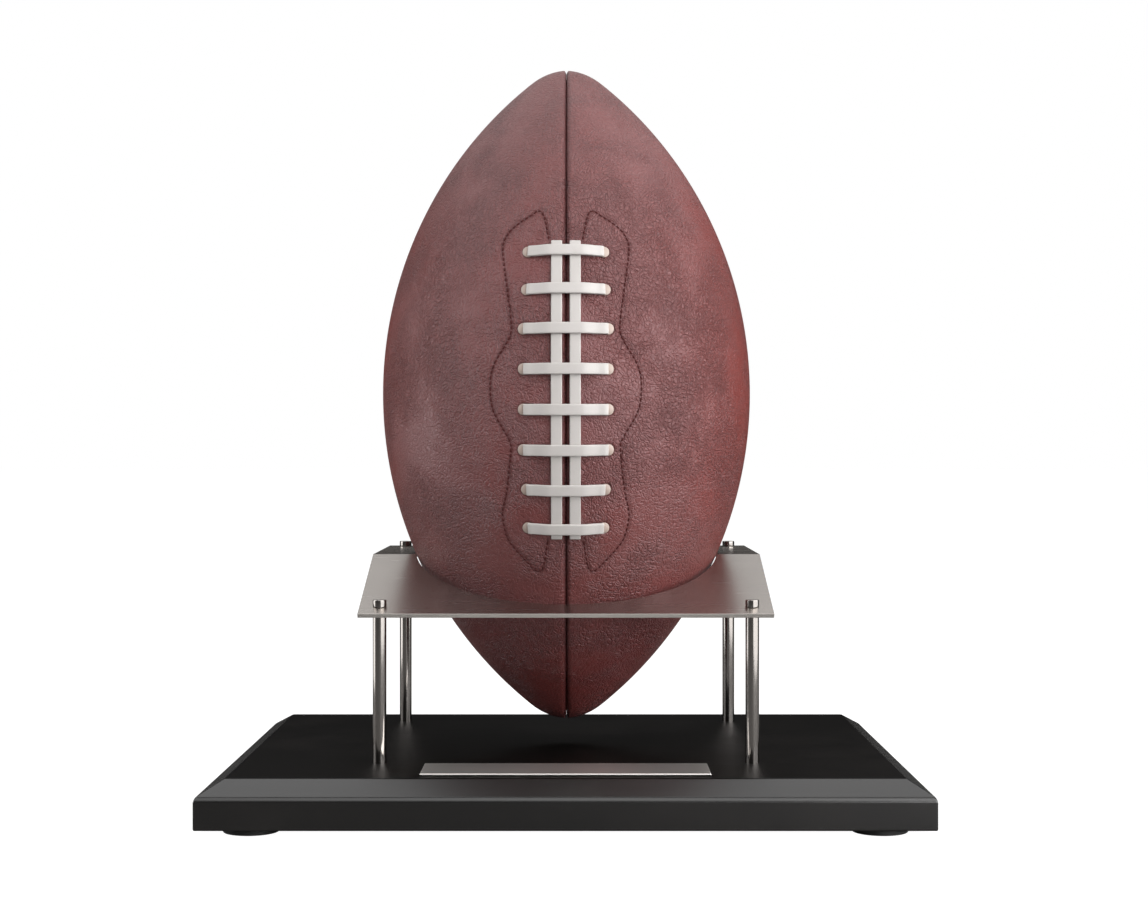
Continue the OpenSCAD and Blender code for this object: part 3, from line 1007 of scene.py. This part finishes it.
@dataclass
class BallForm:
    """The ball's true shape, as a surface round its upright axis."""

    meridian_radius: float = 178.6 * MM
    tip_rounding: float = 9 * MM
    tip_power: float = 5.0
    pole_radius: float = 1.3 * MM
    steepest: float = 60.0
    centre: Vector = field(init=False)
    radius: float = field(init=False)
    half_length: float = field(init=False)
    setback: float = field(init=False)
    heights: np.ndarray = field(init=False)
    lengths: np.ndarray = field(init=False)

    def __post_init__(self) -> None:
        """Reads the ball's place from the CAD panels, and measures along its outline."""
        boxes = [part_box("panel_" + corner) for corner in CORNERS]
        low = Vector(tuple(min(box[0][axis] for box in boxes) for axis in range(3)))
        high = Vector(tuple(max(box[1][axis] for box in boxes) for axis in range(3)))
        self.centre = (low + high) / 2
        self.radius = (high.x - low.x) / 2
        self.half_length = (high.z - low.z) / 2
        self.setback = self.meridian_radius - self.radius
        self.heights = self.half_length * np.sin(np.linspace(-math.pi / 2, math.pi / 2, 4001))
        steps = np.hypot(np.diff(self.heights), np.diff(self.reach(self.heights)))
        self.lengths = np.concatenate([[0], np.cumsum(steps)])
        self.lengths -= self.lengths[-1] / 2

    def profile(self, height: np.ndarray) -> np.ndarray:
        """Distance of the ball's outline from the axis.

        Args:
            height: Height above the ball's middle.

        Returns:
            The distance.
        """
        arc = np.sqrt(self.meridian_radius ** 2 - height ** 2) - self.setback
        past = (np.abs(height) - (self.half_length - self.tip_rounding)) / self.tip_rounding
        fade = np.sqrt(np.clip(1 - np.clip(past, 0, 1) ** self.tip_power, 0, 1))
        return arc * fade

    def reach(self, height: np.ndarray) -> np.ndarray:
        """Distance of the surface from the axis, which stops short of the poles.

        Args:
            height: Height above the ball's middle.

        Returns:
            The distance.
        """
        return np.maximum(self.profile(height), self.pole_radius)

    def height_at(self, length: np.ndarray) -> np.ndarray:
        """Height of a point, from its distance along the surface from the ball's middle."""
        return np.interp(length, self.lengths, self.heights)

    def length_at(self, height: np.ndarray) -> np.ndarray:
        """Distance along the surface from the ball's middle, from the height."""
        return np.interp(height, self.heights, self.lengths)

    def lay(self, around: np.ndarray, height: np.ndarray, lift: np.ndarray) -> np.ndarray:
        """Places points on the ball.

        Args:
            around: Angle round the ball from its front, towards +X, in radians.
            height: Height above the ball's middle.
            lift: Distance out from the surface, along its normal.

        Returns:
            The places, one row each.
        """
        step = 1e-5
        slope = (self.profile(height + step) - self.profile(height - step)) / (2 * step)
        slope = np.clip(slope, -self.steepest, self.steepest)
        tilt = np.hypot(1, slope)
        reach = self.reach(height) + lift / tilt
        return np.stack([self.centre.x + reach * np.sin(around),
                         self.centre.y - reach * np.cos(around),
                         self.centre.z + height - lift * slope / tilt], axis=1)


@dataclass
class Lacing:
    """Where the laces, their holes and the patch stitching lie on the front of the ball."""

    form: BallForm
    count: int = 8
    laced_length: float = 114.4 * MM
    half_lengths: tuple[float, ...] = (15.4 * MM, 15.9 * MM, 17.2 * MM, 17.1 * MM)
    width: float = 4.6 * MM
    hole_radius: float = 2.45 * MM
    hole_shift: float = 0.4 * MM
    patch_outline: tuple[tuple[float, float], ...] = (
        (7.0, 63.5), (10.0, 77.0), (15.0, 75.0), (22.0, 70.0), (25.0, 66.5), (27.0, 61.0),
        (26.0, 51.0), (23.0, 29.5), (23.0, 23.0), (25.5, 18.0), (30.0, 11.0), (32.0, 4.0),
        (31.5, -6.0), (29.0, -12.0), (23.5, -21.0), (23.0, -26.0), (25.0, -43.0), (27.0, -52.0),
        (25.5, -61.0), (23.0, -66.0), (17.0, -73.0), (12.0, -78.0), (9.5, -76.5), (7.5, -64.0))

    def heights(self) -> list[float]:
        """Heights of the cross laces above the ball's middle, from the top."""
        top = math.asin(self.laced_length / 2 / self.form.meridian_radius)
        return [self.form.meridian_radius * math.sin(top - 2 * top * i / (self.count - 1))
                for i in range(self.count)]

    def half_length(self, index: int) -> float:
        """Half the length of a cross lace, over the surface.

        Args:
            index: Which one, from the top.

        Returns:
            Half its length; the outer ones are shorter.
        """
        return self.half_lengths[min(index, self.count - 1 - index)]

    def outline(self, step: float) -> np.ndarray:
        """The patch stitching of one side, as evenly spaced points.

        Args:
            step: The distance between points.

        Returns:
            Rows of distance from the front seam and distance up the surface.
        """
        curve = rounded_path(np.array(self.patch_outline) * MM)
        lengths = np.concatenate([[0], np.cumsum(np.hypot(*np.diff(curve, axis=0).T))])
        stops = np.linspace(0, lengths[-1], int(lengths[-1] / step) + 1)
        return np.stack([np.interp(stops, lengths, curve[:, i]) for i in range(2)], axis=1)


def rounded_path(corners: np.ndarray, steps: int = 12) -> np.ndarray:
    """Runs a smooth curve through points.

    Args:
        corners: The points, one row each.
        steps: Steps between two points.

    Returns:
        The curve's points.
    """
    padded = np.concatenate([corners[:1], corners, corners[-1:]])
    share = np.linspace(0, 1, steps, endpoint=False)[:, None]
    stretches = []
    for before, start, end, after in zip(padded, padded[1:], padded[2:], padded[3:]):
        leave, arrive = (end - before) / 2, (after - start) / 2
        stretches.append((2 * share ** 3 - 3 * share ** 2 + 1) * start
                         + (share ** 3 - 2 * share ** 2 + share) * leave
                         + (3 * share ** 2 - 2 * share ** 3) * end
                         + (share ** 3 - share ** 2) * arrive)
    return np.concatenate([*stretches, corners[-1:]])


def side_name(side: int) -> str:
    """The name of a side, -1 or 1."""
    return "left" if side < 0 else "right"


def spread(stretches: Sequence[tuple[float, float]]) -> np.ndarray:
    """Lays out grid lines whose spacing changes.

    Args:
        stretches: For each stretch, its length and its spacing.

    Returns:
        Shares from 0 to 1 of the whole length.
    """
    lines = [0.0]
    for length, spacing in stretches:
        steps = max(1, round(length / spacing))
        start = lines[-1]
        lines.extend(start + length * (i + 1) / steps for i in range(steps))
    return np.array(lines) / lines[-1]


class Panel(Enum):
    """The four panels, each with the angle, in quarter turns from the front, at which it starts."""

    FRONT_RIGHT = 0
    REAR_RIGHT = 1
    REAR_LEFT = 2
    FRONT_LEFT = 3


@dataclass
class Football:
    """The football: sewn panels, laces, stitching and what is inside."""

    wardrobe: Wardrobe
    form: BallForm = field(default_factory=BallForm)
    lacing: Lacing = field(init=False)
    roll: float = 3.2 * MM
    tip_zone: float = 12 * MM
    seam_width: float = 2.6 * MM
    seam_depth: float = 2.0 * MM
    seam_gap: float = 0.05 * MM
    tip_gap: float = 2.5 * MM
    tip_gap_depth: float = 1.6 * MM
    leather_thickness: float = 1.8 * MM
    row_spacing: float = 1.05 * MM
    tip_row_spacing: float = 0.5 * MM
    stitch_dent: tuple[float, float] = (0.85 * MM, 0.35 * MM)
    hole_depth: float = 0.9 * MM
    run_sink: float = 0.15 * MM
    run_offset: float = 3.80 * MM
    run_width: float = 4.55 * MM
    run_reach: float = 62.9 * MM
    lace_thickness: float = 1.35 * MM
    stitch_spacing: float = 2.3 * MM
    stitch_size: tuple[float, float, float] = (0.97 * MM, 0.42 * MM, 0.36 * MM)
    valve_radius: float = 2.9 * MM
    valve_height: float = 1.2 * MM
    valve_sink: float = 0.35 * MM

    def __post_init__(self) -> None:
        """Sets the laces out on the ball."""
        self.lacing = Lacing(self.form)

    def build(self) -> None:
        """Builds the ball's pieces."""
        for panel in Panel:
            self.leather_panel(panel)
        for side in (-1, 1):
            self.lace_run(side)
            self.stitching(side)
        for index in range(self.lacing.count):
            self.cross_lace(index)
        self.valve()
        self.carried_over()

    def columns(self, panel: Panel) -> np.ndarray:
        """Sets out a panel's grid lines, close at its seams and close by the laces.

        Args:
            panel: Which panel.

        Returns:
            Shares from 0 to 1 across the panel.
        """
        quarter = self.form.radius * math.pi / 2
        wide = 1.7 * MM
        if panel in (Panel.REAR_RIGHT, Panel.REAR_LEFT):
            seam = (self.roll, 0.4 * MM)
            return spread([seam, (quarter - 2 * self.roll, wide), seam])
        laced = 32 * MM
        stretches = [(self.roll, 0.32 * MM), (laced, 0.62 * MM),
                     (quarter - 2 * self.roll - laced, wide), (self.roll, 0.45 * MM)]
        return spread(stretches if panel is Panel.FRONT_RIGHT else stretches[::-1])

    def leather_panel(self, panel: Panel) -> None:
        """One leather panel, rolled in along its seams.

        Args:
            panel: Which panel.
        """
        lines = self.columns(panel)
        total = self.form.lengths[-1] * 2
        tip = (self.tip_zone, self.tip_row_spacing)
        levels = spread([tip, (total - 2 * self.tip_zone, self.row_spacing), tip])
        start = panel.value * math.pi / 2
        measured: dict[str, np.ndarray] = {}

        def place(across: np.ndarray, up: np.ndarray) -> np.ndarray:
            """Lays the panel's grid on the ball."""
            share = np.interp(across, np.linspace(0, 1, len(lines)), lines)
            length = (np.interp(up, np.linspace(0, 1, len(levels)), levels) - 0.5) * total
            height = self.form.height_at(length)
            reach = self.form.reach(height)
            into_tip = 1 - (self.form.half_length - np.abs(height)) / self.tip_gap_depth
            gap = self.seam_gap + (self.tip_gap - self.seam_gap) * np.clip(into_tip, 0, 1)
            margin = np.minimum(gap / 2 / reach, math.pi / 5)
            turn = margin + share * (math.pi / 2 - 2 * margin)
            inward, crease = self.relief(panel, turn, reach, length)
            measured["crease"] = crease
            return self.form.lay(start + turn, height, -inward)

        name = "leather_panel_" + panel.name.lower()
        piece = add_sheet(name, len(lines) - 1, len(levels) - 1, place)
        # this mask darkens the leather colour in grooves, dents and holes: painted shade
        layer = piece.data.attributes.new("crease", "FLOAT", "POINT")
        layer.data.foreach_set("value", measured["crease"].astype(np.float32))
        modify(piece, "SOLIDIFY", thickness=self.leather_thickness, offset=-1.0,
               use_even_offset=False)
        activate(piece)
        bpy.ops.object.shade_smooth_by_angle(angle=math.radians(60))
        dress(piece, self.wardrobe.leather)
        hand_over(piece, FOOTBALL, "ball_leather", "panel_" + panel.name.lower())

    def relief(self, panel: Panel, turn: np.ndarray, reach: np.ndarray,
               length: np.ndarray) -> tuple[np.ndarray, np.ndarray]:
        """How far the leather is sunk, and how much painted shade its grooves get.

        Args:
            panel: Which panel.
            turn: Angle from the panel's first seam.
            reach: Distance from the axis.
            length: Distance up the surface from the ball's middle.

        Returns:
            Depth below the ball's surface, and a mask of painted shade in seam grooves, stitch
            dents and lace holes, from 0 to 1.
        """
        first = turn * reach
        second = (math.pi / 2 - turn) * reach
        depth = np.zeros_like(turn)
        crease = np.zeros_like(turn)
        fullness = np.clip((self.form.lengths[-1] - np.abs(length)) / (16 * MM), 0, 1)
        for distance in (first, second):
            into = np.clip(1 - distance / (self.seam_width * (0.4 + 0.6 * fullness)), 0, 1)
            depth += self.seam_depth * (0.6 + 0.4 * fullness) * (1 - np.sqrt(1 - into ** 2))
            # painted shade deepens into the seam grooves
            crease = np.maximum(crease, into ** 2)
        if panel in (Panel.FRONT_RIGHT, Panel.FRONT_LEFT):
            across = first if panel is Panel.FRONT_RIGHT else second
            path = self.lacing.outline(1.0 * MM)
            near = np.full_like(turn, 1.0)
            close = (across < 40 * MM) & (np.abs(length) < 85 * MM)
            spots = np.stack([across[close], length[close]], axis=1)
            gaps = np.sqrt(((spots[:, None, :] - path[None, :, :]) ** 2).sum(2))
            near[close] = gaps.min(1)
            dent_width, dent_depth = self.stitch_dent
            dent = np.exp(-(near / dent_width) ** 2)
            depth += dent_depth * dent
            # painted shade in the stitch dents
            crease = np.maximum(crease, 0.45 * dent)
            for index, height in enumerate(self.lacing.heights()):
                level = float(self.form.length_at(np.array(height)))
                hole = self.lacing.half_length(index) + self.lacing.hole_shift
                from_hole = np.hypot(across - hole, length - level)
                sunk = 1 / (1 + np.exp((from_hole - self.lacing.hole_radius) / (0.22 * MM)))
                depth += self.hole_depth * sunk
                # painted shade in the lace holes
                crease = np.maximum(crease, sunk)
        return depth, np.clip(crease, 0, 1)

    def strap(self, name: str, columns: int, rows: int,
              place: Callable[[np.ndarray, np.ndarray], np.ndarray]) -> bpy.types.Object:
        """A flat lace: a laid sheet with thickness and rounded edges.

        Args:
            name: The piece's name.
            columns: Faces across the sheet.
            rows: Faces up the sheet.
            place: Gives the places on the lace's underside.

        Returns:
            The lace.
        """
        piece = add_sheet(name, columns, rows, place)
        modify(piece, "SOLIDIFY", thickness=self.lace_thickness, offset=1.0, use_even_offset=True)
        soften(piece, 0.42 * MM, 4, 50)
        return piece

    def lace_run(self, side: int) -> None:
        """The length of lace beside the seam, under the cross laces.

        Args:
            side: -1 for the left, 1 for the right.
        """
        def place(across: np.ndarray, up: np.ndarray) -> np.ndarray:
            """Lays the run up the ball."""
            length = (up - 0.5) * 2 * self.run_reach
            height = self.form.height_at(length)
            offset = side * self.run_offset + (across - 0.5) * self.run_width
            around = offset / self.form.reach(height)
            return self.form.lay(around, height, np.full_like(up, -self.run_sink))

        name = side_name(side)
        run = self.strap("seam_lace_" + name, 4, 90, place)
        dress(run, self.wardrobe.lace)
        hand_over(run, FOOTBALL, "lace_white", "lace_run_" + name)

    def cross_lace(self, index: int) -> None:
        """One lace across the seam, with its ends turned down into their holes.

        Args:
            index: Which one, from the top.
        """
        height = self.lacing.heights()[index]
        level = float(self.form.length_at(np.array(height)))
        half = self.lacing.half_length(index)
        over_run = self.lace_thickness - self.run_sink

        def place(across: np.ndarray, up: np.ndarray) -> np.ndarray:
            """Lays the lace over the runs, sinking to the leather at its ends."""
            path = (across - 0.5) * 2 * half
            past_run = np.abs(path) - self.run_offset - self.run_width / 2
            outside = np.clip(past_run / (8 * MM), 0, 1)
            lift = over_run * (1 - outside ** 2 * (3 - 2 * outside)) + 0.10 * MM
            droop = np.clip((np.abs(path) - half + 1.6 * MM) / (1.6 * MM), 0, 1)
            lift = lift - 0.35 * MM * droop ** 2
            length = level + (up - 0.5) * self.lacing.width
            around = path / self.form.reach(np.full_like(path, height))
            return self.form.lay(around, self.form.height_at(length), lift)

        lace = self.strap("crossing_lace", 72, 4, place)
        dress(lace, self.wardrobe.lace)
        ends = [self.lace_end(index, side, level) for side in (-1, 1)]
        lace = join([lace, *ends], f"cross_lace_{index + 1}_woven")
        hand_over(lace, FOOTBALL, "lace_white", f"cross_lace_{index + 1}")

    def lace_end(self, index: int, side: int, level: float) -> bpy.types.Object:
        """The rounded end of the lace below, in its hole, in a darker, warmer copy of the lace as
        painted shade.

        Args:
            index: Which cross lace.
            side: -1 for the left, 1 for the right.
            level: Its distance up the surface.

        Returns:
            The end piece.
        """
        radius = self.lacing.hole_radius - 0.35 * MM
        centre = side * (self.lacing.half_length(index) + self.lacing.hole_shift)

        def place(across: np.ndarray, up: np.ndarray) -> np.ndarray:
            """Lays a disc in the hole."""
            x, y = across * 2 - 1, up * 2 - 1
            disc_x = x * np.sqrt(1 - y ** 2 / 2) * radius
            disc_y = y * np.sqrt(1 - x ** 2 / 2) * radius
            dome = 1 - (disc_x ** 2 + disc_y ** 2) / radius ** 2
            height = self.form.height_at(level + disc_y)
            around = (centre + disc_x) / self.form.reach(height)
            return self.form.lay(around, height, 0.45 * MM * dome - self.hole_depth)

        end = add_sheet("lace_end", 12, 12, place)
        modify(end, "SOLIDIFY", thickness=self.hole_depth, offset=1.0)
        soften(end, 0.25 * MM, 2, 50)
        # the lace end wears the darker copy of the lace, painted shade in its hole
        dress(end, self.wardrobe.lace_end)
        return end

    def stitching(self, side: int) -> None:
        """The stitches round one lace patch.

        Args:
            side: -1 for the left, 1 for the right.
        """
        path = self.lacing.outline(self.stitch_spacing)
        middles = (path[:-1] + path[1:]) / 2
        runs = np.diff(path, axis=0)
        stitches = []
        for (across, length), (step_across, step_up) in zip(middles, runs):
            height = self.form.height_at(np.array([length]))
            around = side * across / self.form.reach(height)
            sites = [self.form.lay(around, height, np.array([lift]))[0]
                     for lift in (-0.25 * MM, MM)]
            outward = Vector(sites[1] - sites[0]).normalized()
            sideways = Vector((math.cos(around[0]), math.sin(around[0]), 0))
            upward = outward.cross(sideways) * -1
            upward = upward if upward.z > 0 else -upward
            along = (sideways * side * step_across + upward * step_up).normalized()
            turn = Matrix((along, outward.cross(along), outward)).transposed().to_4x4()
            deselect_all()
            bpy.ops.mesh.primitive_uv_sphere_add(segments=8, ring_count=5, radius=1)
            stitch = named("stitch")
            stitch.data.transform(Matrix.Translation(Vector(sites[0])) @ turn
                                  @ Matrix.Diagonal((*self.stitch_size, 1)))
            stitches.append(stitch)
        name = side_name(side)
        seam = join(stitches, "patch_stitches_" + name)
        activate(seam)
        bpy.ops.object.shade_smooth()
        dress(seam, self.wardrobe.thread)
        hand_over(seam, FOOTBALL, "dark_thread", "patch_stitching_" + name)

    def valve(self) -> None:
        """The rubber mouth of the air valve."""
        outward = Vector((1, 1, 0)).normalized()
        spot = self.form.centre + outward * (self.form.radius - self.valve_sink)
        deselect_all()
        bpy.ops.mesh.primitive_cylinder_add(
            vertices=48, radius=self.valve_radius, depth=self.valve_height, location=spot,
            rotation=outward.to_track_quat("Z", "Y").to_euler())
        mouth = settle(named("valve_mouth"))
        select_where(mouth, lambda place: (place - spot).dot(outward) > 0)
        bpy.ops.mesh.inset(thickness=2.1 * MM, depth=-0.25 * MM)
        bpy.ops.mesh.inset(thickness=0.25 * MM, depth=-0.7 * MM)
        bpy.ops.object.mode_set(mode="OBJECT")
        soften(mouth, 0.2 * MM, 3)
        dress(mouth, self.wardrobe.rubber)
        hand_over(mouth, FOOTBALL, "valve_rubber")

    def carried_over(self) -> None:
        """Dresses the CAD pieces inside the ball."""
        finishes = {"lining_": self.wardrobe.cloth, "seam_rib_": self.wardrobe.hide,
                    "lace_patch_": self.wardrobe.hide, "bladder": self.wardrobe.bladder,
                    "valve": self.wardrobe.rubber}
        for node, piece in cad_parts.items():
            for prefix, material in finishes.items():
                if node.startswith(prefix):
                    dress(piece, material)


# ---------------------------------------------------------------- studio


@dataclass(frozen=True)
class Softbox:
    """One soft area light, and the share of it that falls on the cradle plate."""

    name: str
    place: tuple[float, float, float]
    size: tuple[float, float]
    power: float
    plate_share: float = 1.0

    def hang(self, name: str, power: float, target: Vector) -> bpy.types.Object:
        """Adds the light and points it.

        Args:
            name: The light's name.
            power: Its power.
            target: The point that it faces.

        Returns:
            The light.
        """
        deselect_all()
        bpy.ops.object.light_add(type="AREA", location=self.place)
        lamp = bpy.context.object
        lamp.name = name
        lamp.data.shape = "RECTANGLE"
        lamp.data.size, lamp.data.size_y = self.size
        lamp.data.energy = power
        lamp.rotation_euler = (target - Vector(self.place)).to_track_quat("-Z", "Y").to_euler()
        return lamp

    def build(self, target: Vector, off_plate: bpy.types.Collection,
              on_plate: bpy.types.Collection) -> None:
        """Hangs the light, with a dimmer twin for the cradle plate where that gets less of it.

        Args:
            target: The point that it faces.
            off_plate: The group that keeps a light off the plate.
            on_plate: The group that keeps a light to the plate.
        """
        lamp = self.hang(self.name, self.power, target)
        if self.plate_share < 1:
            lamp.light_linking.receiver_collection = off_plate
        if 0 < self.plate_share < 1:
            twin = self.hang(self.name + "_on_plate", self.power * self.plate_share, target)
            twin.light_linking.receiver_collection = on_plate


def light_group(name: str, piece: bpy.types.Object, state: str) -> bpy.types.Collection:
    """Makes a group of one piece, for lights to be kept off it or to light it alone.

    Args:
        name: The group's name.
        piece: The piece.
        state: "EXCLUDE" to keep lights off the piece, or "INCLUDE" to keep them to it.

    Returns:
        The group.
    """
    group = bpy.data.collections.new(name)
    group.objects.link(piece)
    group.collection_objects[0].light_linking.link_state = state
    return group


@dataclass
class Studio:
    """The pale floor, the lights and the camera."""

    camera_back: float = 0.8019
    camera_right: float = 3.36 * MM
    camera_height: float = 0.1302
    lens: float = 64.29
    floor_colour: Colour = (0.14, 0.137, 0.134)
    softboxes: tuple[Softbox, ...] = (
        Softbox("right_panel", (1.15, -0.62, 0.72), (2.1, 1.4), 39.0, 0.25),
        Softbox("left_panel", (-1.25, -0.15, 0.72), (1.3, 1.4), 14.5, 0.25),
        Softbox("front_softbox", (0.10, -0.95, 1.30), (1.4, 1.3), 11.0),
        Softbox("overhead_softbox", (0.0, 0.42, 1.32), (2.0, 1.0), 9.5),
        Softbox("rear_softbox", (0.0, 1.30, 1.12), (1.8, 0.7), 2.5),
        Softbox("fill_softbox", (0.58, -1.15, 0.28), (0.5, 0.4), 2.2, 0.25),
        Softbox("left_strip", (-0.46, 0.0, 0.12), (0.30, 0.22), 0.55, 0.0),
        Softbox("right_strip", (0.46, -0.30, 0.12), (0.85, 0.22), 1.4, 0.0))

    def build(self) -> None:
        """Sets the scene round the object."""
        low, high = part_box("base_board")
        self.camera(Vector((self.camera_right, low.y - self.camera_back,
                            high.z + self.camera_height)))
        self.floor()
        self.surround()
        middle = (cad_box[0] + cad_box[1]) / 2
        plate = bpy.data.objects["folded_cradle_plate"]
        off_plate = light_group("off_plate", plate, "EXCLUDE")
        on_plate = light_group("on_plate", plate, "INCLUDE")
        for softbox in self.softboxes:
            softbox.build(middle, off_plate, on_plate)

    def camera(self, place: Vector) -> None:
        """Sets the camera level, looking along +Y.

        Args:
            place: Where it stands.
        """
        deselect_all()
        bpy.ops.object.camera_add(location=place, rotation=(math.pi / 2, 0, 0))
        camera = bpy.context.object
        camera.name = "camera"
        camera.data.sensor_width = 36.0
        camera.data.lens = self.lens
        bpy.context.scene.camera = camera

    def floor(self) -> None:
        """The plain pale floor."""
        deselect_all()
        bpy.ops.mesh.primitive_plane_add(size=30, location=(0, 0, 0))
        floor = named("studio_floor")
        sheet = material_sheet("pale_floor")
        to_eye = sheet.node("LightPath").outputs["Is Camera Ray"]
        dress(floor, sheet.surface(Base_Color=self.floor_colour, Roughness=0.8,
                                   Specular_IOR_Level=0.1, Emission_Color=(1, 1, 1),
                                   Emission_Strength=to_eye))

    def surround(self) -> None:
        """A white backdrop to the eye, and a dim room, darker behind, to the object."""
        sheet = NodeSheet(bpy.data.worlds.new("studio_room"))
        bpy.context.scene.world = sheet.owner
        direction = sheet.node("TexCoord").outputs["Generated"]
        frontness = (sheet.along("Y", direction) * -1).between(-0.3, 0.8)
        to_eye = Signal(sheet, sheet.node("LightPath").outputs["Is Camera Ray"])
        glow = to_eye + (1.0 - to_eye) * (0.006 + frontness * 0.08)
        room = sheet.node("Background", {}, {"Color": (1, 1, 1), "Strength": glow})
        sheet.node("OutputWorld", {}, {"Surface": room.outputs[0]})
        bpy.context.scene.view_settings.view_transform = "Standard"


def main() -> None:
    """Builds the whole scene round the frame."""
    logging.basicConfig(level=logging.INFO, format="%(name)s: %(message)s")
    wardrobe = Wardrobe()
    Base(wardrobe).build()
    Cradle(wardrobe).build()
    Football(wardrobe).build()
    Studio().build()


if __name__ == "__main__":
    main()
